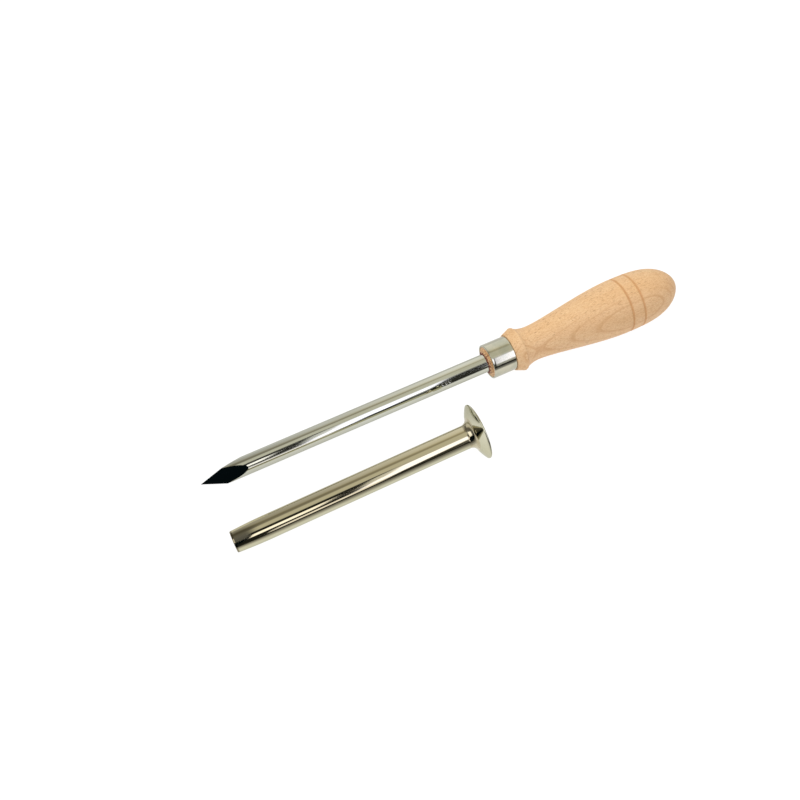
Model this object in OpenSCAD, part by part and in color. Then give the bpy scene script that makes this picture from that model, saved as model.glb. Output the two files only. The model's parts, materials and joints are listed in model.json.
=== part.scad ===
// Two-piece trocar: a sharp rod on a turned handle, and the flanged cannula that it carries.
// Both lie on a flat surface, side by side, with the trocar's point and the cannula's mouth towards -X.
// The origin is the middle of the whole layout's box in plan, at the surface they lie on.

/* [Rod] */
// Diameter of the rod, which the cannula slides on
rod_d = 10; // [9:0.1:10.1]
// Length of the rod from its point to the front of the ferrule
rod_reach = 162; // [140:1:220]
// Length of the three ground facets
point_len = 25; // [15:1:40]
// Turn of the facets about the rod, from straight up towards the cannula
point_roll = 45; // [0:1:119]
// Diameter of the rod where the cement holds it
rod_seat_d = 9.6; // [9:0.1:9.9]
// Depth of the rod's seat inside the handle
seat_depth = 10; // [6:1:14]
// Length of the tapered tang behind the seat
tang_len = 42; // [20:1:60]
// Diameter of the tang where it starts
tang_d1 = 8; // [5.5:0.5:8.5]
// Diameter of the tang at its end
tang_d2 = 5.2; // [3:0.2:5.4]

/* [Ferrule] */
// Outer diameter of the ferrule
ferrule_d = 19; // [18:0.5:20]
// Length of the ferrule
ferrule_len = 13.3; // [10:0.1:18]
// Wall of the ferrule
ferrule_wall = 0.9; // [0.5:0.1:1.5]
// How far the wood and the cement stand back inside the front edge
face_recess = 0.3; // [0.1:0.1:1]

/* [Handle] */
// Length of the handle behind the ferrule
handle_len = 102.8; // [90:0.1:120]
// Diameter of the collar's front edge
collar_front_d = 20.4; // [20:0.1:22]
// Diameter of the collar's crest
collar_d = 24.4; // [23:0.1:27]
// Distance of the crest behind the ferrule
collar_x = 4.9; // [3:0.1:7]
// Diameter of the neck
neck_d = 19; // [17:0.1:20]
// Distance of the neck behind the ferrule
neck_x = 13.5; // [11:0.1:18]
// Greatest diameter of the handle
belly_d = 30.6; // [28:0.1:34]
// Distance of the greatest diameter behind the ferrule
belly_x = 67.8; // [60:0.1:75]
// Fullness of the rounded end along the handle
end_power_x = 3.1; // [2:0.1:4]
// Fullness of the rounded end across the handle
end_power_r = 1.7; // [1.4:0.1:2.4]
// Distance of the first turned line behind the ferrule
groove_x = 67.8; // [60:0.1:80]
// Distance between the two turned lines
groove_pitch = 7.3; // [4:0.1:12]
// Radius of the turned lines' section
groove_r = 0.6; // [0.3:0.1:1]
// Depth of the turned lines
groove_depth = 0.4; // [0.1:0.1:0.8]

/* [Cement] */
// Diameter of the seat that the cement fills round the rod
seat_d = 12.4; // [11:0.1:14]
// Diameter of the bead of cement on the wood's end
bead_d = 13.4; // [12.5:0.1:15]
// How far the bead climbs the rod
bead_rise = 1.7; // [0.5:0.1:3]

/* [Cannula] */
// Outer diameter of the tube
tube_d = 12.3; // [11.5:0.1:13]
// Bore of the tube
tube_bore = 10.2; // [10.15:0.05:10.5]
// Length of round rod left bare in front of the mouth when the flange meets the ferrule
bare_rod = 3.3; // [1:0.1:10]
// Outer diameter at the edge of the mouth
lip_d = 10.75; // [10.7:0.05:11.2]
// Length of the mouth's rounded edge
lip_round = 1.4; // [0.5:0.1:3]
// Outer diameter behind the rounded edge
nose_d = 11.25; // [11.1:0.05:11.4]
// Length over which the mouth tapers
nose_len = 18; // [8:0.5:30]

/* [Flange] */
// Diameter of the flange
flange_d = 29.5; // [24:0.1:34]
// Thickness of the flange's sheet
flange_sheet = 1; // [0.6:0.1:1.5]
// Radius of the dish, on its back
dish_r = 26; // [22:0.5:40]
// How far the tube's end stands out of the dish's bottom
tube_stand = 0.4; // [0.2:0.1:1]
// Length of each solder fillet along the tube
solder_len = 1.5; // [0.8:0.1:2.5]
// Width of the fillet on the dish's back
solder_back_w = 1.6; // [1:0.1:2.5]
// Width of the fillet in the dish's bottom
solder_front_w = 3; // [2:0.1:4]

/* [Layout] */
// Sideways distance between the two axes
side_gap = 37.3; // [33:0.1:60]
// Distance of the cannula's mouth behind the trocar's point
mouth_back = 4.2; // [-10:0.1:20]

/* [Hidden] */
$fn = 96;

rod_r = rod_d / 2;
belly_r = belly_d / 2;
flange_r = flange_d / 2;
tube_r = tube_d / 2;
tenon_r = ferrule_d / 2 - ferrule_wall;
cannula_len = rod_reach - point_len - bare_rod;  // from the mouth to the flange's rim
wood_x = rod_reach + ferrule_len;       // where the handle's collar meets the ferrule
face_x = rod_reach + face_recess;       // the wood's end inside the ferrule
seat_x = face_x + seat_depth;           // the bottom of the rod's seat
bead_x = face_x - bead_rise;            // the bead's front, where the rod's full diameter ends
overall = wood_x + handle_len;
facet_angle = atan(rod_r / point_len);
fit_gap = 0.05;                         // tang in its hole
feather = 0.1;                          // thickness of a fillet's or the bead's thin edge
solder_sink = 0.5;                      // how far the back fillet's cone runs into the dish
cut = 1;                                // how far a cutting tool runs past a face

// How deep a circle of radius big lies behind its top, at distance r from the middle
function sag(big, r) = big - sqrt(big * big - r * r);
dish_apex = cannula_len - flange_sheet - sag(dish_r - flange_sheet, flange_r);
flange_back = dish_apex + sag(dish_r, tube_r);  // the dish's back at the tube
tube_end = dish_apex + flange_sheet + sag(dish_r - flange_sheet, tube_r) + tube_stand;

// A cubic curve from a to d, with control points b and c
function curve(a, b, c, d, steps) = [for (i = [1:steps]) let (t = i / steps, s = 1 - t)
    s*s*s*a + 3*s*s*t*b + 3*s*t*t*c + t*t*t*d];

// The handle's outline from the collar's front edge to the middle of its end, as [radius, distance]
collar_front = [collar_front_d / 2, wood_x];
crest = [collar_d / 2, wood_x + collar_x];
crest_round = 0.5;                      // length of the bevel in front of the crest
crest_drop = 0.2;                       // and its depth
throat_pull = [-0.6, 0.8];              // how the outline leaves the crest, towards the neck
neck_pull = [3.6, 11.1];                // how long it runs along the handle, before the neck and behind it
belly_pull = 18.2;                      // and before the belly
neck = [neck_d / 2, wood_x + neck_x];
belly = [belly_r, wood_x + belly_x];
throat = curve(crest, crest + throat_pull, neck - [0, neck_pull[0]], neck, 8);
swell = curve(neck, neck + [0, neck_pull[1]], belly - [0, belly_pull], belly, 16);
end_steps = 16;
butt = [for (i = [1:end_steps]) let (t = 1 - pow(1 - i / end_steps, 2))
    [belly_r * pow(1 - pow(t, end_power_x), 1 / end_power_r), belly[1] + (handle_len - belly_x) * t]];
front_bevel = crest - [crest_drop, crest_round];
outline = concat([collar_front, front_bevel, crest], throat, swell, butt);

// The trocar rests on the front of its round rod and on its belly, which sets how far its axis leans
function rod_low(angle) = point_len * sin(angle) - rod_r * cos(angle);
function belly_low(angle) = min([for (p = outline) p[1] * sin(angle) - p[0] * cos(angle)]);
rest_span = belly[1] - point_len;
function settle(angle, steps) = steps == 0 ? angle :
    settle(angle - asin((belly_low(angle) - rod_low(angle)) / rest_span), steps - 1);
trocar_lean = settle(asin((belly_r - rod_r) / rest_span), 6);
trocar_z = -rod_low(trocar_lean);

// The cannula rests on the rounded edge of its mouth and on the rim of its flange
rim_back = dish_apex + sag(dish_r, flange_r);
nose_r = nose_d / 2;
cannula_lean = atan((flange_r - nose_r) / (rim_back - lip_round));
cannula_z = nose_r * cos(cannula_lean) - lip_round * sin(cannula_lean);

mid_x = overall * cos(trocar_lean) / 2;
mid_y = (belly_r - side_gap - flange_r) / 2;

// Turns a solid made round +Z into one made round +X
module along_x() rotate([0, 90, 0]) children();

// Lays a tool down: its axis leaves [x, y, z] towards +X and climbs by the angle
module lay(x, y, z, angle) translate([x - mid_x, y - mid_y, z]) rotate([0, -angle, 0]) children();
module lay_trocar() lay(0, 0, trocar_z, trocar_lean) children();
module lay_cannula() lay(mouth_back, -side_gap, cannula_z, cannula_lean) children();

module turned_line(x, r) translate([0, 0, x])
    rotate_extrude() translate([r + groove_r - groove_depth, 0]) circle(r = groove_r, $fn = 24);

module handle() color("burlywood") lay_trocar() along_x() difference() {
    union() {
        rotate_extrude() polygon(concat([[0, wood_x]], outline));
        translate([0, 0, face_x]) cylinder(r = tenon_r, h = wood_x - face_x + cut);
    }
    translate([0, 0, face_x - cut]) cylinder(d = seat_d, h = seat_depth + cut);
    translate([0, 0, seat_x - cut]) cylinder(d = tang_d1 + 2 * fit_gap, h = 2 * cut);
    translate([0, 0, seat_x + cut])
        cylinder(d1 = tang_d1 + 2 * fit_gap, d2 = tang_d2 + 2 * fit_gap, h = tang_len);
    turned_line(wood_x + groove_x, belly_r);
    turned_line(wood_x + groove_x + groove_pitch, belly_r);
}

module ferrule() color("silver") lay_trocar() along_x() translate([0, 0, rod_reach]) difference() {
    cylinder(d = ferrule_d, h = ferrule_len);
    translate([0, 0, -cut]) cylinder(r = tenon_r, h = ferrule_len + 2 * cut);
}

// Takes away all that lies above one facet's plane
module facet_cut(roll) rotate([roll, 0, 0]) rotate([0, -facet_angle, 0])
    translate([-rod_d, -rod_d, 0]) cube([2 * point_len + rod_d, 2 * rod_d, 2 * rod_d]);

module rod() color("gainsboro") lay_trocar() {
    difference() {
        along_x() translate([0, 0, -cut]) cylinder(r = rod_r, h = bead_x + cut);
        for (k = [0:2]) facet_cut(point_roll + 120 * k);
    }
    along_x() translate([0, 0, bead_x - cut / 2]) cylinder(d = rod_seat_d, h = seat_x - bead_x + cut / 2);
    along_x() translate([0, 0, seat_x - cut / 2]) cylinder(d = tang_d1, h = 1.5 * cut);
    along_x() translate([0, 0, seat_x + cut]) cylinder(d1 = tang_d1, d2 = tang_d2, h = tang_len - cut);
}

module tang_cement() color("sienna") lay_trocar() along_x() difference() {
    union() {
        translate([0, 0, face_x]) cylinder(d = seat_d, h = seat_depth);
        translate([0, 0, bead_x]) cylinder(d1 = rod_d + 2 * feather, d2 = bead_d, h = bead_rise);
    }
    translate([0, 0, bead_x - cut]) cylinder(d = rod_seat_d, h = seat_x - bead_x + 2 * cut);
}

nose_bulge = 0.25;                      // how far the taper's outline swells behind the rounded edge
nose_pull = [0.35, 0.6];                // shares of the taper's length at which the outline turns
nose = curve([nose_r, lip_round], [nose_r + nose_bulge, nose_pull[0] * nose_len],
    [tube_r, nose_pull[1] * nose_len], [tube_r, nose_len], 8);

module cannula_tube() color("gainsboro") lay_cannula() along_x() difference() {
    rotate_extrude() polygon(concat([[0, 0], [lip_d / 2, 0], [nose_r, lip_round]], nose,
        [[tube_r, tube_end], [0, tube_end]]));
    translate([0, 0, -cut]) cylinder(d = tube_bore, h = tube_end + 2 * cut);
}

// A ball whose surface touches the dish's back, or its front with depth set to the sheet's thickness
module dish_ball(depth) translate([0, 0, dish_apex + dish_r]) sphere(r = dish_r - depth);

module cannula_flange() color("gainsboro") lay_cannula() along_x() difference() {
    intersection() {
        dish_ball(0);
        translate([0, 0, dish_apex - cut]) cylinder(r = flange_r, h = dish_r);
    }
    dish_ball(flange_sheet);
    translate([0, 0, dish_apex - cut]) cylinder(r = tube_r, h = dish_r);
}

// Fillets of solder round the tube, on the dish's back and in its bottom
module flange_solder() color("darkgray") lay_cannula() along_x() difference() {
    union() {
        difference() {
            translate([0, 0, flange_back - solder_len + solder_sink])
                cylinder(r1 = tube_r + feather, r2 = tube_r + solder_back_w, h = solder_len);
            dish_ball(0);
        }
        intersection() {
            translate([0, 0, tube_end - solder_len])
                cylinder(r1 = tube_r + solder_front_w, r2 = tube_r + feather, h = solder_len);
            dish_ball(flange_sheet);
        }
    }
    translate([0, 0, dish_apex - cannula_len]) cylinder(r = tube_r, h = 2 * cannula_len);
}

handle();
ferrule();
rod();
tang_cement();
cannula_tube();
cannula_flange();
flange_solder();
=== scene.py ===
import json
import math

import bmesh
import bpy
from mathutils import Matrix, Vector, noise


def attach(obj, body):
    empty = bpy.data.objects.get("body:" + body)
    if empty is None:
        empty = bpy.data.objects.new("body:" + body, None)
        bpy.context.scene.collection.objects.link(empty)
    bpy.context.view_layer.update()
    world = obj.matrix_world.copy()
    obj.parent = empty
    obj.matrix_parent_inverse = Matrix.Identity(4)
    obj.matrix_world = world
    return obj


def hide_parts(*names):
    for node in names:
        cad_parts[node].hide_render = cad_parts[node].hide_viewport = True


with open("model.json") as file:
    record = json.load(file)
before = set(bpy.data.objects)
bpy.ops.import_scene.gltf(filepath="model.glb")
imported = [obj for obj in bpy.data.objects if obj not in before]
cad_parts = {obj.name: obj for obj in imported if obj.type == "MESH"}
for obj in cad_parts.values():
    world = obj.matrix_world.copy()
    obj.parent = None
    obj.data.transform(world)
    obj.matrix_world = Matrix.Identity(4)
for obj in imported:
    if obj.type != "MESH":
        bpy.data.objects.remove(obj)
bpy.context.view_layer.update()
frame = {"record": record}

# The looks of the trocar and its cannula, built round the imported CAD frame. Each tool is turned round its
# own axis. A piece is drawn in its tool's own axes, in millimetres: x runs along the axis from the trocar's
# point or the cannula's mouth, y is the frame's +Y, and z leans with the tool.

MM = 0.001

# The driving sizes of the design, in millimetres
ROD_R, ROD_REACH, POINT_LEN, POINT_ROLL = 5, 162, 25, 45
ROD_SEAT_R, SEAT_DEPTH, TANG_LEN, TANG_R1, TANG_R2 = 4.8, 10, 42, 4, 2.6
FERRULE_R, FERRULE_LEN, FERRULE_WALL, FACE_RECESS = 9.5, 13.3, 0.9, 0.3
HANDLE_LEN, COLLAR_FRONT_R, COLLAR_R, COLLAR_X = 102.8, 10.2, 12.2, 4.9
NECK_R, NECK_X, BELLY_R, BELLY_X = 9.5, 13.5, 15.3, 67.8
END_POWER_X, END_POWER_R = 3.1, 1.7
GROOVE_X, GROOVE_PITCH, GROOVE_R, GROOVE_DEPTH = 67.8, 7.3, 0.6, 0.4
SEAT_R, BEAD_R, BEAD_RISE = 6.2, 6.7, 1.7
TUBE_R, BORE_R, BARE_ROD = 6.15, 5.1, 3.3
LIP_R, LIP_ROUND, NOSE_R, NOSE_LEN = 5.375, 1.4, 5.625, 18
FLANGE_R, FLANGE_SHEET, DISH_R, TUBE_STAND = 14.75, 1, 26, 0.4

TENON_R = FERRULE_R - FERRULE_WALL
CANNULA_LEN = ROD_REACH - POINT_LEN - BARE_ROD
WOOD_X = ROD_REACH + FERRULE_LEN
FACE_X = ROD_REACH + FACE_RECESS
SEAT_X = FACE_X + SEAT_DEPTH
BEAD_X = FACE_X - BEAD_RISE


def sag(big, r):
    """How deep a circle of radius big lies behind its top, at distance r from the middle."""
    return big - math.sqrt(big * big - r * r)


DISH_APEX = CANNULA_LEN - FLANGE_SHEET - sag(DISH_R - FLANGE_SHEET, FLANGE_R)
TUBE_END = DISH_APEX + FLANGE_SHEET + sag(DISH_R - FLANGE_SHEET, TUBE_R) + TUBE_STAND


# ---------------------------------------------------------------- where each tool lies

def mount(name):
    """A mount's place and direction."""
    found = next(m for m in frame["record"]["mounts"] if m["name"] == name)
    return Vector(found["pos_m"]), Vector(found["axis"]).normalized()


def tool_axes(start, along):
    """The matrix from a tool's own axes to the frame."""
    side = Vector((0, 1, 0))
    up = along.cross(side)
    axes = Matrix((along, side, up)).transposed().to_4x4()
    axes.translation = start
    return axes


rod_middle, to_point = mount("rod")
bore_middle, to_flange = mount("cannula_bore")
TROCAR = tool_axes(rod_middle + to_point * (POINT_LEN / 2 + BEAD_X) / 2 * MM, -to_point)
CANNULA = tool_axes(bore_middle - to_flange * TUBE_END / 2 * MM, to_flange)


# ---------------------------------------------------------------- meshes

def curve(a, b, c, d, steps):
    """A cubic curve from a to d, with control points b and c; a itself is left out."""
    out = []
    for i in range(1, steps + 1):
        t = i / steps
        s = 1 - t
        w = (s * s * s, 3 * s * s * t, 3 * s * t * t, t * t * t)
        out.append(tuple(sum(k * p[j] for k, p in zip(w, (a, b, c, d))) for j in (0, 1)))
    return out


def rounded(points, radii, steps=6, closed=False):
    """The outline with the corner at each index in radii replaced by an arc of that radius."""
    out = []
    n = len(points)
    for i, p in enumerate(points):
        r = radii.get(i, 0)
        if r == 0 or (not closed and i in (0, n - 1)):
            out.append(p)
            continue
        p = Vector(p)
        back = (Vector(points[i - 1]) - p).normalized()
        ahead = (Vector(points[(i + 1) % n]) - p).normalized()
        half = back.angle(ahead) / 2
        middle = p + (back + ahead).normalized() * (r / math.sin(half))
        first = p + back * (r / math.tan(half)) - middle
        last = p + ahead * (r / math.tan(half)) - middle
        turn = math.atan2(first.x * last.y - first.y * last.x, first.dot(last))
        for k in range(steps + 1):
            out.append(tuple(middle + Matrix.Rotation(turn * k / steps, 2) @ first))
    return out


def densified(points, gap, closed=False):
    """The outline with extra points, so that no step is longer than gap."""
    out = []
    pairs = list(zip(points, points[1:] + points[:1] if closed else points[1:]))
    for a, b in pairs:
        steps = max(1, math.ceil(math.dist(a, b) / gap))
        out += [tuple(a[j] + (b[j] - a[j]) * k / steps for j in (0, 1)) for k in range(steps)]
    return out if closed else out + [points[-1]]


def new_piece(name, bm, axes, body, material, slot, *nodes, sharp=None):
    """Turns a bmesh in millimetres into a finished piece that stands for some CAD nodes."""
    bmesh.ops.recalc_face_normals(bm, faces=bm.faces)
    for f in bm.faces:
        f.smooth = True
    bmesh.ops.scale(bm, vec=(MM, MM, MM), verts=bm.verts)
    bm.transform(axes)
    mesh = bpy.data.meshes.new(name)
    bm.to_mesh(mesh)
    bm.free()
    if sharp:
        mesh.set_sharp_from_angle(angle=math.radians(sharp))
    mesh.materials.append(material)
    piece = bpy.data.objects.new(name, mesh)
    bpy.context.scene.collection.objects.link(piece)
    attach(piece, body)
    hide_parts(*nodes)


def lathe(outline, steps=128, closed=False, shape=None):
    """A surface turned round the x axis. The outline is a list of (x, r), and its ends lie on the axis
    unless it is closed. shape(x, r, turn) moves a point to another (x, r)."""
    bm = bmesh.new()
    rings = []
    for x, r in outline:
        if r < 1e-6:
            rings.append([bm.verts.new((x, 0, 0))] * steps)
            continue
        ring = []
        for k in range(steps):
            turn = math.tau * k / steps
            px, pr = shape(x, r, turn) if shape else (x, r)
            ring.append(bm.verts.new((px, -pr * math.sin(turn), pr * math.cos(turn))))
        rings.append(ring)
    pairs = list(zip(rings, rings[1:]))
    if closed:
        pairs.append((rings[-1], rings[0]))
    for a, b in pairs:
        for k in range(steps):
            j = (k + 1) % steps
            face = list(dict.fromkeys((a[k], a[j], b[j], b[k])))
            if len(face) > 2:
                bm.faces.new(face)
    return bm


# ---------------------------------------------------------------- shader nodes

class Shader:
    """A material or world whose nodes are made one call at a time. Inputs take numbers, colours or outputs.
    Its place is in a tool's own axes, where those are given."""

    def __init__(self, owner, place="Object", axes=None):
        self.owner = owner
        owner.use_nodes = True
        self.tree = owner.node_tree
        self.tree.nodes.clear()
        self.place = self.node("ShaderNodeTexCoord").outputs[place]
        if axes:
            back = axes.inverted()
            self.place = self.node("ShaderNodeMapping", {"Vector": self.place, "Location": back.translation,
                                                         "Rotation": back.to_euler()}).outputs[0]

    def node(self, kind, inputs=None, **settings):
        made = self.tree.nodes.new(kind)
        for key, value in settings.items():
            setattr(made, key, value)
        for key, value in (inputs or {}).items():
            socket = made.inputs[key]
            if isinstance(value, bpy.types.NodeSocket):
                self.tree.links.new(value, socket)
            else:
                socket.default_value = value
        return made

    def math(self, operation, a, b=0.0, c=0.0):
        return self.node("ShaderNodeMath", {0: a, 1: b, 2: c}, operation=operation).outputs[0]

    def grey(self, value):
        return self.node("ShaderNodeCombineColor", {0: value, 1: value, 2: value}).outputs[0]

    def smooth(self, value, lo, hi, out_lo=0.0, out_hi=1.0):
        """Goes smoothly from out_lo to out_hi as value goes from lo to hi."""
        ends = {"Value": value, "From Min": lo, "From Max": hi, "To Min": out_lo, "To Max": out_hi}
        return self.node("ShaderNodeMapRange", ends, interpolation_type="SMOOTHSTEP").outputs[0]

    def mix(self, factor, a, b, blend="MIX"):
        """Colour a, with colour b over it where factor is 1."""
        inputs = {0: factor, 6: a, 7: b}
        return self.node("ShaderNodeMix", inputs, data_type="RGBA", blend_type=blend).outputs[2]

    def stretch(self, scale, offset=(0, 0, 0), turn=(0, 0, 0)):
        """The piece's own coordinates in millimetres, turned about x, y and z and scaled."""
        return self.node("ShaderNodeMapping", {"Vector": self.place, "Location": offset, "Rotation": turn,
                                               "Scale": [k / MM for k in scale]}).outputs[0]

    def noise(self, place, detail=4.0, rough=0.5):
        return self.node("ShaderNodeTexNoise", {"Vector": place, "Scale": 1.0, "Detail": detail,
                                                "Roughness": rough}).outputs["Fac"]

    def axes(self, place=None):
        return self.node("ShaderNodeSeparateXYZ", {0: place or self.place}).outputs

    def bump(self, height, distance, strength=1.0, normal=None):
        inputs = {"Height": height, "Distance": distance * MM, "Strength": strength}
        if normal:
            inputs["Normal"] = normal
        return self.node("ShaderNodeBump", inputs).outputs[0]

    def finish(self, **inputs):
        named = {key.replace("_", " "): value for key, value in inputs.items()}
        shader = self.node("ShaderNodeBsdfPrincipled", named)
        self.node("ShaderNodeOutputMaterial", {"Surface": shader.outputs[0]})
        return self.owner


def rgb(r, g, b):
    """A colour given as the eight-bit values that a screen shows."""
    shown = [c / 255 for c in (r, g, b)]
    return tuple(((c + 0.055) / 1.055) ** 2.4 if c > 0.04045 else c / 12.92 for c in shown) + (1.0,)


# ---------------------------------------------------------------- materials

GRAIN_TURN = math.radians(60)    # from straight up towards the cannula, the way the growth layers face
LAYER = 2.25                     # thickness of a growth layer


def beech():
    s = Shader(bpy.data.materials.new("beech"), axes=TROCAR)
    across = s.stretch((1, 1, 1), turn=(-GRAIN_TURN, 0, 0))
    _, beside, depth = s.axes(across)
    # growth layers: nearly flat sheets, a little bowed and uneven
    drift = s.noise(s.stretch((0.012, 0.06, 0.06)), detail=2)
    fine_drift = s.noise(s.stretch((0.05, 0.3, 0.3)), detail=3)
    layers = s.math("DIVIDE", depth, LAYER)
    layers = s.math("ADD", layers, s.math("MULTIPLY", drift, 1.1))
    layers = s.math("ADD", layers, s.math("MULTIPLY", fine_drift, 0.14))
    ring = s.math("FRACT", layers)
    late = s.math("MULTIPLY", s.smooth(ring, 0.62, 0.93), s.smooth(ring, 0.93, 1.0, 1.0, 0.0))
    flat_sawn = s.math("ARCTAN2", s.math("ABSOLUTE", beside), depth)
    late = s.math("MULTIPLY", late, s.smooth(flat_sawn, 0.3, 0.9, 1.0, 0.05))
    # short dark ray flecks and pores, drawn out along the grain
    flecks = s.smooth(s.noise(s.stretch((0.45, 1.7, 1.7)), detail=1, rough=0.4), 0.62, 0.72)
    few = s.smooth(s.noise(s.stretch((0.08, 0.2, 0.2), offset=(7, 3, 1)), detail=2), 0.40, 0.54)
    pores = s.smooth(s.noise(s.stretch((0.9, 3.0, 3.0), offset=(4, 9, 2)), detail=3, rough=0.6), 0.42, 0.68)
    cloud = s.noise(s.stretch((0.03, 0.11, 0.11), offset=(11, 2, 5)), detail=3)
    streak = s.noise(s.stretch((0.04, 1.3, 1.3), offset=(1, 5, 8)), detail=4, rough=0.6)
    colour = s.mix(s.smooth(cloud, 0.3, 0.7), rgb(241, 200, 149), rgb(246, 209, 161))
    colour = s.mix(s.smooth(streak, 0.35, 0.75, 0.0, 0.45), colour, rgb(232, 182, 128))
    colour = s.mix(s.math("MULTIPLY", late, 0.42), colour, rgb(212, 154, 100))
    colour = s.mix(s.math("MULTIPLY", pores, 0.5), colour, rgb(204, 140, 88))
    flecks = s.math("MULTIPLY", s.math("MULTIPLY", flecks, few), s.smooth(flat_sawn, 0.3, 0.8, 0.3, 1.0))
    colour = s.mix(s.math("MULTIPLY", flecks, 0.6), colour, rgb(170, 98, 46))
    # the two lines that a wire burnished
    own_x = s.axes()[0]
    burnt = None
    for k in (0, 1):
        away = s.math("ABSOLUTE", s.math("SUBTRACT", own_x, (WOOD_X + GROOVE_X + k * GROOVE_PITCH) * MM))
        line = s.smooth(away, 0.15 * MM, 1.1 * MM, 1.0, 0.0)
        burnt = s.math("MAXIMUM", burnt, line) if burnt else line
    colour = s.mix(s.math("MULTIPLY", burnt, 0.6), colour, rgb(208, 146, 88))
    grain = s.bump(pores, -0.02, 0.7)
    turned = s.noise(s.stretch((6, 0.02, 0.02)), detail=3)
    grain = s.bump(turned, 0.012, 0.6, normal=grain)
    return s.finish(Base_Color=colour, Roughness=s.smooth(streak, 0.2, 0.8, 0.46, 0.60), Normal=grain,
                    Specular_IOR_Level=0.35)


def nickel(name, axes, colour, dull, rough, wave, painted_reflection=0.0, dots=()):
    """Polished nickel plate: faint clouds in the tone, fine polishing lines along the tool, soft waves."""
    s = Shader(bpy.data.materials.new(name), axes=axes)
    cloud = s.noise(s.stretch((0.02, 0.12, 0.12)), detail=4)
    lines = s.noise(s.stretch((0.05, 7, 7), offset=(3, 1, 2)), detail=4, rough=0.65)
    specks = s.smooth(s.noise(s.stretch((1.6, 2.4, 2.4), offset=(5, 8, 3)), detail=3), 0.66, 0.8)
    tone = s.mix(s.smooth(cloud, 0.35, 0.7), colour, dull)
    if painted_reflection:
        along, _, height = s.axes()
        # painted reflection: the upper half is tinted darker and warmer, most strongly near the top, to stand
        # in for the warm reflection it shows
        tone = s.mix(s.smooth(height, 0, 4 * MM, 0.0, painted_reflection), tone, rgb(196, 179, 142))
        # painted reflection: the rounded lip at the mouth is painted dark brown, in place of the dull
        # reflection it shows instead of the bright window
        tone = s.mix(s.smooth(along, 0.5 * MM, 1.3 * MM, 0.9, 0.0), tone, rgb(122, 112, 88))
    tone = s.mix(s.math("MULTIPLY", specks, 0.25), tone, rgb(120, 112, 92))
    gloss = s.math("ADD", s.smooth(lines, 0.35, 0.75, rough, rough + 0.05), s.math("MULTIPLY", specks, 0.1))
    wavy = s.bump(s.noise(s.stretch((0.035, 0.28, 0.28), offset=(2, 6, 1)), detail=2), wave, 0.5)
    skin = s.bump(lines, 0.0016, 0.35, normal=wavy)
    for dot in dots:
        away = s.node("ShaderNodeVectorMath", {0: s.place, 1: dot}, operation="DISTANCE").outputs["Value"]
        inside = s.smooth(away, 0.35 * MM, 0.8 * MM, 1.0, 0.0)
        skin = s.bump(inside, -0.12, 0.8, normal=skin)
        tone = s.mix(s.math("MULTIPLY", inside, 0.5), tone, rgb(96, 90, 76))
    return s.finish(Base_Color=tone, Metallic=1.0, Roughness=gloss, Normal=skin,
                    Specular_Tint=(0.75, 0.75, 0.7, 1))


def satin_steel():
    """The ferrule: plated, then brushed round by hand, with small dents and a few longer scratches."""
    s = Shader(bpy.data.materials.new("ferrule_steel"), axes=TROCAR)
    rub = s.noise(s.stretch((0.35, 2.6, 2.6)), detail=5, rough=0.7)
    cloud = s.noise(s.stretch((0.16, 0.16, 0.16), offset=(4, 4, 4)), detail=4)
    scratch = s.smooth(s.noise(s.stretch((0.3, 6, 6), offset=(9, 2, 7)), detail=3), 0.62, 0.72)
    tone = s.mix(s.smooth(cloud, 0.35, 0.7), rgb(196, 192, 172), rgb(182, 182, 164))
    tone = s.mix(s.math("MULTIPLY", scratch, 0.3), tone, rgb(140, 134, 112))
    dents = s.bump(s.noise(s.stretch((0.25, 0.3, 0.3), offset=(1, 3, 5)), detail=2), 0.008, 0.5)
    skin = s.bump(rub, 0.0007, 0.5, normal=dents)
    rough = s.smooth(rub, 0.3, 0.7, 0.06, 0.12)
    return s.finish(Base_Color=tone, Metallic=1.0, Roughness=rough, Normal=skin)


def bedding_cement():
    s = Shader(bpy.data.materials.new("bedding_cement"), axes=TROCAR)
    lumps = s.noise(s.stretch((1.1, 1.1, 1.1)), detail=5, rough=0.6)
    pits = s.smooth(s.noise(s.stretch((3.5, 3.5, 3.5), offset=(2, 2, 2)), detail=2), 0.35, 0.5, 1.0, 0.0)
    colour = s.mix(s.smooth(lumps, 0.35, 0.7), rgb(112, 52, 40), rgb(172, 100, 72))
    _, y, z = s.axes()
    out = s.math("SQRT", s.math("ADD", s.math("MULTIPLY", y, y), s.math("MULTIPLY", z, z)))
    out = s.math("ADD", out, s.math("MULTIPLY", s.math("SUBTRACT", lumps, 0.5), 4.5 * MM))
    colour = s.mix(s.math("MULTIPLY", pits, 0.6), colour, rgb(52, 22, 20))
    colour = s.mix(s.smooth(out, 5.8 * MM, 6.5 * MM), colour, rgb(224, 182, 132))
    rough = s.bump(s.math("SUBTRACT", lumps, s.math("MULTIPLY", pits, 0.4)), 0.25, 0.8)
    return s.finish(Base_Color=colour, Roughness=s.smooth(lumps, 0.3, 0.7, 0.42, 0.7), Normal=rough)


def soft_solder():
    """Solder, plated over with the rest, so nearly as bright, but a little lumpy."""
    s = Shader(bpy.data.materials.new("soft_solder"), axes=CANNULA)
    flow = s.noise(s.stretch((0.5, 0.35, 0.35)), detail=3, rough=0.6)
    tone = s.mix(s.smooth(flow, 0.35, 0.7), rgb(178, 168, 138), rgb(202, 194, 168))
    skin = s.bump(flow, 0.02, 0.6)
    rough = s.smooth(flow, 0.3, 0.7, 0.08, 0.2)
    return s.finish(Base_Color=tone, Metallic=1.0, Roughness=rough, Normal=skin)


# ---------------------------------------------------------------- the trocar

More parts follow.
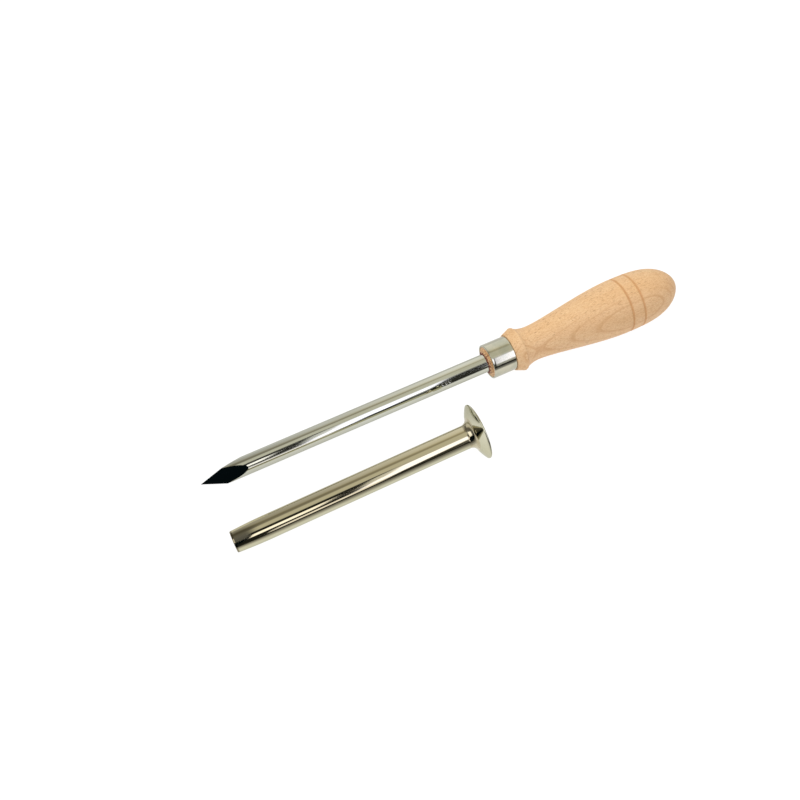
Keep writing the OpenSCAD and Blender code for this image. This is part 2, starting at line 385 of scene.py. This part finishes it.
def handle_outline():
    """From the collar's front edge to the middle of the end, as (x, r)."""
    crest = (WOOD_X + COLLAR_X, COLLAR_R)
    neck = (WOOD_X + NECK_X, NECK_R)
    belly = (WOOD_X + BELLY_X, BELLY_R)
    collar = [(WOOD_X, TENON_R), (WOOD_X, COLLAR_FRONT_R), (crest[0] - 0.25, crest[1] - 0.1),
              (crest[0] + 0.55, crest[1] - 0.25), (crest[0] + 1.2, crest[1] - 0.9)]
    front = rounded(collar, {1: 0.25, 2: 0.5, 3: 0.5})
    throat = curve(front[-1], (crest[0] + 1.9, crest[1] - 1.5), (neck[0] - 3.6, neck[1]), neck, 20)
    swell = curve(neck, (neck[0] + 11.1, neck[1]), (belly[0] - 18.2, belly[1]), belly, 44)
    butt = []
    end_steps = 44
    for i in range(1, end_steps + 1):
        t = 1 - (1 - i / end_steps) ** 2
        r = BELLY_R * (1 - t ** END_POWER_X) ** (1 / END_POWER_R)
        butt.append((belly[0] + (HANDLE_LEN - BELLY_X) * t, r))
    return front[1:], throat + swell + butt


def with_lines(outline):
    """Cuts the two turned lines into the part of the outline near the belly, with softened edges."""
    first, last = WOOD_X + GROOVE_X - 2, WOOD_X + GROOVE_X + GROOVE_PITCH + 2
    step = 0.08
    soft = 0.06
    plain = [p for p in outline if p[0] < first]
    rest = [p for p in outline if p[0] > last]
    cut = []
    for i in range(int((last - first) / step) + 1):
        x = first + i * step
        a, b = next(pair for pair in zip(outline, outline[1:]) if pair[0][0] <= x < pair[1][0])
        r = a[1] + (b[1] - a[1]) * (x - a[0]) / (b[0] - a[0])
        for k in (0, 1):
            away = abs(x - (WOOD_X + GROOVE_X + k * GROOVE_PITCH))
            if away < GROOVE_R:
                floor = BELLY_R + GROOVE_R - GROOVE_DEPTH - math.sqrt(GROOVE_R ** 2 - away ** 2)
                gap = (floor - r) / soft
                r -= soft * math.log(1 + math.exp(min(-gap, 60)))
        cut.append((x, r))
    return plain + cut + rest


TANG_GAP = 0.05    # between the tang and its hole, so that their faces stay apart


def make_handle():
    front, back = handle_outline()
    wide, narrow = TANG_R1 + TANG_GAP, TANG_R2 + TANG_GAP
    hole = [(SEAT_X + TANG_LEN, 0), (SEAT_X + TANG_LEN, narrow), (SEAT_X + 1, wide), (SEAT_X, wide)]
    hole += [(SEAT_X, SEAT_R), (FACE_X, SEAT_R), (FACE_X, TENON_R), (WOOD_X, TENON_R)]
    outline = densified(hole, 4) + front + with_lines(back)
    outline[-1] = (outline[-1][0], 0)
    new_piece("turned_handle", lathe(outline, 160), TROCAR, "trocar", beech(), "beech", "handle", sharp=50)


def make_ferrule():
    x0, x1 = ROD_REACH, WOOD_X
    loop = [(x0, TENON_R), (x0, FERRULE_R), (x1, FERRULE_R), (x1, TENON_R)]
    outline = densified(rounded(loop, {0: 0.12, 1: 0.3, 2: 0.22, 3: 0.1}, closed=True), 1.5, closed=True)
    new_piece("ferrule_ring", lathe(outline, 160, closed=True), TROCAR, "trocar", satin_steel(),
              "ferrule_steel", "ferrule", sharp=50)


DOT_TURN = math.radians(50)      # from straight up towards the cannula
DOT_PLACES = (134, 136, 138)     # from the point


def punched_dots():
    """Three plain dots punched in the rod near the ferrule."""
    y, z = -ROD_R * math.sin(DOT_TURN), ROD_R * math.cos(DOT_TURN)
    return [(x * MM, y * MM, z * MM) for x in DOT_PLACES]


def facet_ring(x, chord_steps=10, arc_steps=24):
    """The rod's section at x, as points round it: three chords left by the facets, and the round between."""
    depth = min(x / POINT_LEN, 1) * ROD_R
    half = math.acos(depth / ROD_R) if depth * 2 > ROD_R else math.pi / 3
    reach = depth * math.tan(half)
    points = []
    for k in range(3):
        turn = math.radians(POINT_ROLL + 120 * k)
        for i in range(chord_steps + 1):
            side = reach * (2 * i / chord_steps - 1)
            angle = turn + math.atan2(side, depth) if depth else turn
            r = math.hypot(side, depth)
            points.append((-r * math.sin(angle), r * math.cos(angle)))
        for i in range(1, arc_steps):
            angle = turn + half + (2 * math.pi / 3 - 2 * half) * i / arc_steps
            r = min(ROD_R, depth / math.cos(half)) if depth * 2 <= ROD_R else ROD_R
            points.append((-r * math.sin(angle), r * math.cos(angle)))
    return points


def make_rod(material):
    bm = bmesh.new()
    half_len = POINT_LEN / 2
    first = [half_len * k / 12 for k in range(1, 13)]
    second = [half_len + half_len * (1 - (1 - k / 24) ** 2) for k in range(1, 25)]
    plain = [POINT_LEN + (BEAD_X - POINT_LEN) * k / 24 for k in range(1, 25)]
    rings = []
    tip = bm.verts.new((0, 0, 0))
    for x in first + second + plain:
        rings.append([bm.verts.new((x, y, z)) for y, z in facet_ring(x)])
    n = len(rings[0])
    tail = [(BEAD_X, ROD_SEAT_R), (SEAT_X, ROD_SEAT_R), (SEAT_X, TANG_R1), (SEAT_X + 1, TANG_R1),
            (SEAT_X + TANG_LEN, TANG_R2)]
    for x, r in tail:
        rings.append([bm.verts.new((x, y * r / ROD_R, z * r / ROD_R)) for y, z in facet_ring(BEAD_X)])
    for k in range(n):
        bm.faces.new((tip, rings[0][k], rings[0][(k + 1) % n]))
        for a, b in zip(rings, rings[1:]):
            bm.faces.new((a[k], a[(k + 1) % n], b[(k + 1) % n], b[k]))
    bm.faces.new(rings[-1])
    bmesh.ops.remove_doubles(bm, verts=bm.verts, dist=1e-4)
    bmesh.ops.dissolve_degenerate(bm, edges=bm.edges, dist=1e-5)
    new_piece("ground_rod", bm, TROCAR, "trocar", material, "rod_nickel", "rod", sharp=4)


SMEAR = 0.5    # how far the bead's edge and height wander


def make_cement():
    """The bead is smeared by hand, so its edge and its height wander round the rod."""
    def smear(x, r, turn):
        bead = max(0, min(1, (r - ROD_R) / (BEAD_R - ROD_R)))
        if x > FACE_X + 0.01 or bead <= 0:
            return x, r
        at = Vector((math.cos(turn) * 1.6, math.sin(turn) * 1.6, r * 0.5))
        lump = noise.noise(at) * 0.55 + noise.noise(at * 3.1) * 0.25
        return x - lump * SMEAR * math.sin(math.pi * bead), r + lump * SMEAR * bead

    bead = curve((BEAD_X, ROD_R + 0.02), (BEAD_X - 0.25, ROD_R + 0.7), (FACE_X - 0.9, BEAD_R + 0.1),
                 (FACE_X, BEAD_R), 14)
    loop = [(SEAT_X, ROD_SEAT_R), (BEAD_X + 0.05, ROD_SEAT_R), (BEAD_X, ROD_R + 0.02)] + bead
    loop += [(FACE_X + 0.05, SEAT_R), (SEAT_X, SEAT_R)]
    bm = lathe(densified(loop, 1.5, closed=True), closed=True, shape=smear)
    new_piece("cement_bead", bm, TROCAR, "trocar", bedding_cement(), "cement", "tang_cement", sharp=60)


# ---------------------------------------------------------------- the cannula

def make_tube(material):
    nose = curve((LIP_ROUND, NOSE_R), (0.35 * NOSE_LEN, NOSE_R + 0.25), (0.6 * NOSE_LEN, TUBE_R),
                 (NOSE_LEN, TUBE_R), 20)
    edge = curve((0, LIP_R - 0.05), (0.02, LIP_R + 0.16), (0.8, NOSE_R - 0.02), (LIP_ROUND, NOSE_R), 10)
    mouth = rounded([(3, BORE_R), (0, BORE_R), (0, LIP_R - 0.05)], {1: 0.09}) + edge + nose
    end = rounded([(NOSE_LEN + 1, TUBE_R), (TUBE_END, TUBE_R), (TUBE_END, BORE_R), (TUBE_END - 2, BORE_R)],
                  {1: 0.3, 2: 0.3})
    outline = densified(mouth + end, 4, closed=True)
    new_piece("polished_tube", lathe(outline, 144, closed=True), CANNULA, "cannula", material,
              "cannula_nickel", "cannula_tube", sharp=50)


def dish_point(depth, r):
    """A point on the dish's back, or on its front with depth set to the sheet's thickness."""
    return DISH_APEX + depth + sag(DISH_R - depth, r), r


def make_flange(material):
    """A spherical dish of even thickness, with a full round rim."""
    hole, steps = TUBE_R + 0.01, 30
    lean = math.asin(FLANGE_R / (DISH_R - FLANGE_SHEET / 2))
    rim_r = FLANGE_SHEET / 2
    middle_r = FLANGE_R - rim_r
    middle_x = DISH_APEX + FLANGE_SHEET / 2 + sag(DISH_R - FLANGE_SHEET / 2, middle_r)
    back_edge = middle_r + rim_r * math.sin(lean) * 0.9
    front_edge = middle_r - rim_r * math.sin(lean) * 0.9
    back = [dish_point(0, hole + (back_edge - hole) * i / steps) for i in range(steps + 1)]
    front = [dish_point(FLANGE_SHEET, hole + (front_edge - hole) * i / steps) for i in range(steps + 1)]
    start, stop = back[-1], front[-1]
    rim = []
    a0 = math.atan2(start[1] - middle_r, start[0] - middle_x)
    a1 = math.atan2(stop[1] - middle_r, stop[0] - middle_x)
    for i in range(1, 12):
        angle = a0 + (a1 - a0) * i / 12
        rim.append((middle_x + rim_r * math.cos(angle), middle_r + rim_r * math.sin(angle)))
    sheet = lathe(back + rim + front[::-1], 192, closed=True)
    new_piece("dished_flange", sheet, CANNULA, "cannula", material, "cannula_nickel", "cannula_flange",
              sharp=50)


# The two fillets: -1 on the dish's back or 1 in its bottom, depth of that face in the sheet, width on the
# face, length along the tube
FILLETS = [(-1, 0, 3.0, 3.2), (1, FLANGE_SHEET, 1.6, 0.35)]


def make_solder():
    """Two rings of solder with hollow faces, drawn up unevenly round the tube."""
    bm = bmesh.new()
    for side, depth, wide, tall in FILLETS:
        foot_x, foot_r = dish_point(depth, TUBE_R + wide)
        root_x = dish_point(depth, TUBE_R)[0]
        top = (root_x + side * tall, TUBE_R + 0.02)
        low = dish_point(depth, TUBE_R + wide * 0.4)
        bend = (root_x + side * tall * 0.4, TUBE_R + 0.03)
        face = [top] + curve(top, bend, (low[0] + side * 0.03, low[1]), (foot_x, foot_r), 20)
        loop = face + [(foot_x - side * 0.15, foot_r - 0.2), (root_x - side * 0.15, TUBE_R - 0.1)]

        def draw(x, r, turn, root=root_x, side=side):
            wander = noise.noise(Vector((math.cos(turn) * 1.3, math.sin(turn) * 1.3, side * 4)))
            return root + (x - root) * (1 + 0.12 * wander), TUBE_R + (r - TUBE_R) * (1 + 0.1 * wander)

        ring = lathe(loop, 96, closed=True, shape=draw)
        copy = bpy.data.meshes.new("ring")
        ring.to_mesh(copy)
        ring.free()
        bm.from_mesh(copy)
        bpy.data.meshes.remove(copy)
    new_piece("solder_fillets", bm, CANNULA, "cannula", soft_solder(), "solder", "flange_solder", sharp=60)


# ---------------------------------------------------------------- floor, room and camera

FLOOR_HALF = 6               # metres
FLOOR_GLOW = 0.93            # as the camera sees it everywhere, and as metal mirrors it near the cannula
FLOOR_FAR_GLOW = 0.05        # as metal mirrors it far in front of the cannula
FLOOR_BEHIND = 0.72          # share of the glow that metal mirrors behind the trocar
GLOW_HEIGHT = 10 * MM        # of the cannula's axis over the floor, about
FAR_SLOPE, NEAR_SLOPE = 0.08, 0.53    # sines of the slopes up to the axis where the glow stops changing


def floor_glow(s):
    """How brightly the floor glows at each place, by the slope from there up to the cannula's axis."""
    y = s.axes()[1]
    ahead = s.math("MAXIMUM", s.math("SUBTRACT", CANNULA.translation.y, y), 0.0)
    reach = s.math("SQRT", s.math("MULTIPLY_ADD", ahead, ahead, GLOW_HEIGHT * GLOW_HEIGHT))
    slope = s.math("DIVIDE", GLOW_HEIGHT, reach)
    glow = s.node("ShaderNodeMapRange", {"Value": slope, "From Min": FAR_SLOPE, "From Max": NEAR_SLOPE,
                                         "To Min": FLOOR_FAR_GLOW, "To Max": FLOOR_GLOW}).outputs[0]
    glow = s.math("MULTIPLY", glow, s.smooth(y, -0.02, 0.03, 1.0, FLOOR_BEHIND))
    seen = s.node("ShaderNodeLightPath").outputs["Is Camera Ray"]
    return s.math("MAXIMUM", glow, s.math("MULTIPLY", seen, FLOOR_GLOW))


def make_floor():
    """A plain white sheet. It glows, so that only faint shadows show on it. The camera sees an even glow.
    What metal mirrors of it dims with the distance in front of the cannula, and is a little dimmer behind."""
    a = FLOOR_HALF
    mesh = bpy.data.meshes.new("floor")
    mesh.from_pydata([(-a, -a, 0), (a, -a, 0), (a, a, 0), (-a, a, 0)], [], [(0, 1, 2, 3)])
    material = bpy.data.materials.new("floor")
    s = Shader(material)
    s.finish(Base_Color=(0.15, 0.15, 0.15, 1), Roughness=0.9, Specular_IOR_Level=0.0,
             Emission_Color=(1, 1, 1, 1), Emission_Strength=floor_glow(s))
    mesh.materials.append(material)
    floor = bpy.data.objects.new("floor", mesh)
    bpy.context.scene.collection.objects.link(floor)


# The light tent round the set, by direction. An angle is measured about the X axis, in degrees: 0 is
# straight up, 90 is level on the camera's side and -90 is level on the far side.
# As (angle, brightness, warmth):
TENT = [(-180, 1.0, 0), (-100, 1.10, 0), (-62, 1.06, 0.2), (-50, 0.96, 0.5), (-42, 0.66, 1), (-34, 0.50, 1),
        (-25, 0.56, 0.8), (-12, 0.80, 0.5), (3, 0.90, 0.3), (20, 0.84, 0), (60, 0.6, 0), (100, 0.3, 0),
        (180, 1.0, 0)]
TENT_SLANT = 60    # degrees by which the tent's seams turn as the share of +X in the direction grows by one
# Windows and dark screens in it: first and last angle, first and last share of +X in the direction, colour,
# how soft their edges are, in degrees and in that share, and by how many degrees the last angle grows as
# that share grows by one. A later one covers the earlier ones.
WINDOW, BLACK, NIGHT = (2.2, 2.2, 2.7), (0.02, 0.02, 0.018), (0.002, 0.005, 0.007)
SCREENS = [
    (-17, 16, -0.15, 0.70, (0.78, 0.76, 0.66), 12, 0.08, 0),
    (14, 100, -0.17, 0.060, BLACK, 9, 0.03, 0),
    (60, 100, 0.085, 0.190, (0.06, 0.06, 0.05), 12, 0.03, 0),
    (25, 64, 0.060, 0.190, WINDOW, 8, 0.02, -260),
    (22, 48, 0.042, 0.075, (0.9, 0.9, 0.9), 8, 0.015, 0),
    (67, 81, -0.025, 0.100, (1.5, 1.45, 1.5), 5, 0.03, -20),
    (34, 53, -0.15, 0.006, (2.0, 1.95, 2.0), 6, 0.02, 0),
    (25, 110, 0.190, 0.262, (0.04, 0.04, 0.035), 12, 0.010, 0),
    (26, 45, 0.236, 0.266, WINDOW, 9, 0.006, 1950),
    (26, 66, 0.262, 0.50, WINDOW, 9, 0.006, 0),
    (80, 108, -0.45, 1.00, BLACK, 5, 0.05, 0),
    (40, 100, -1.00, -0.16, NIGHT, 10, 0.02, 0),
    (-8, 40, -0.85, -0.30, (1.8, 1.8, 1.8), 8, 0.06, 0),
    (-180, -60, -1.10, -0.40, (0.86, 0.84, 0.76), 30, 0.15, 0),
    (-120, 90, 0.56, 1.10, (0.30, 0.30, 0.28), 20, 0.12, 0),
]


def tent_cloth(s, angle, x):
    """The tent without its windows: the ramp of TENT, dimmed towards +X in two soft steps."""
    seam = s.math("SUBTRACT", angle, s.math("MULTIPLY", x, TENT_SLANT))
    ramp = s.node("ShaderNodeValToRGB", {"Fac": s.math("DIVIDE", s.math("ADD", seam, 180.0), 360.0)})
    elements = ramp.color_ramp.elements
    while len(elements) > 1:
        elements.remove(elements[-1])
    for i, (at, value, warmth) in enumerate(TENT):
        stop = elements[0] if i == 0 else elements.new((at + 180) / 360)
        stop.position = (at + 180) / 360
        stop.color = (value * (1 + 0.08 * warmth), value, value * (1 - 0.22 * warmth), 1)
    side = s.math("ADD", s.smooth(x, -0.17, -0.07, 0.20, 0.48), s.smooth(x, -0.06, 0.24, 0.0, 0.52))
    return s.mix(1.0, ramp.outputs[0], s.grey(side), "MULTIPLY")


def inside_screen(s, angle, x, a0, a1, x0, x1, soft_a, soft_x, slant):
    """1 inside a window or screen and 0 outside, with soft edges."""
    turned = s.math("SUBTRACT", angle, s.math("MULTIPLY", s.math("SUBTRACT", x, (x0 + x1) / 2), slant))
    inside = s.math("MULTIPLY", s.smooth(angle, a0 - soft_a / 2, a0 + soft_a / 2),
                    s.smooth(turned, a1 - soft_a / 2, a1 + soft_a / 2, 1.0, 0.0))
    inside = s.math("MULTIPLY", inside, s.smooth(x, x0 - soft_x / 2, x0 + soft_x / 2))
    return s.math("MULTIPLY", inside, s.smooth(x, x1 - soft_x / 2, x1 + soft_x / 2, 1.0, 0.0))


def make_room():
    """The camera sees plain white, and everything else sees the tent."""
    world = bpy.data.worlds.new("room")
    bpy.context.scene.world = world
    s = Shader(world, "Generated")
    x, y, z = s.axes()
    angle = s.math("MULTIPLY", s.math("ARCTAN2", s.math("MULTIPLY", y, -1.0), z), 180 / math.pi)
    tent = tent_cloth(s, angle, x)
    for a0, a1, x0, x1, colour, soft_a, soft_x, slant in SCREENS:
        inside = inside_screen(s, angle, x, a0, a1, x0, x1, soft_a, soft_x, slant)
        tent = s.mix(inside, tent, colour + (1,))
    seen = s.node("ShaderNodeLightPath").outputs["Is Camera Ray"]
    light = s.node("ShaderNodeBackground", {"Color": tent, "Strength": 1.0}).outputs[0]
    plain = s.node("ShaderNodeBackground", {"Color": (1, 1, 1, 1), "Strength": 1.0}).outputs[0]
    both = s.node("ShaderNodeMixShader", {0: seen, 1: light, 2: plain}).outputs[0]
    s.node("ShaderNodeOutputWorld", {"Surface": both})


def make_lamp(name, place, size, watts):
    """A soft lamp for the wood, aimed at the frame's origin. Metal doesn't mirror it, because the tent holds
    what metal mirrors."""
    light = bpy.data.lights.new(name, "AREA")
    light.size = size
    light.energy = watts
    lamp = bpy.data.objects.new(name, light)
    bpy.context.scene.collection.objects.link(lamp)
    lamp.location = place
    lamp.rotation_mode = "QUATERNION"
    lamp.rotation_quaternion = (-Vector(place)).to_track_quat("-Z", "Y")
    lamp.visible_glossy = False


SENSOR, LENS = 36, 44.47                     # millimetres
CAMERA_FROM_POINT = (-5.2, -246.1, 444.3)    # millimetres, from the trocar's point
LOOK_DOWN, LOOK_RIGHT = 58.26, 25.2          # degrees


def make_camera():
    """Above the point of the trocar and in front of the tools, looking down and to the right."""
    camera = bpy.data.cameras.new("camera")
    camera.sensor_width = SENSOR
    camera.lens = LENS
    seat = bpy.data.objects.new("camera", camera)
    bpy.context.scene.collection.objects.link(seat)
    seat.location = TROCAR.translation + Vector(CAMERA_FROM_POINT) * MM
    seat.rotation_euler = (math.pi / 2 - math.radians(LOOK_DOWN), 0, -math.radians(LOOK_RIGHT))
    camera.clip_start, camera.clip_end = 0.01, 20
    bpy.context.scene.camera = seat


make_camera()
make_handle()
make_ferrule()
make_rod(nickel("rod_nickel", TROCAR, rgb(204, 205, 192), rgb(196, 196, 181), 0.03, 0.003,
                dots=punched_dots()))
make_cement()
make_tube(nickel("cannula_nickel", CANNULA, rgb(202, 199, 174), rgb(195, 192, 165), 0.03, 0.003,
                 painted_reflection=0.4))
make_flange(nickel("flange_nickel", CANNULA, rgb(207, 204, 180), rgb(198, 195, 168), 0.05, 0.003))
make_solder()
make_floor()
make_room()
make_lamp("key", (-0.3, 0.5, 0.9), 0.6, 4.1)
make_lamp("fill", (0.1, -0.8, 0.6), 0.7, 1.4)
bpy.context.scene.view_settings.view_transform = "Standard"
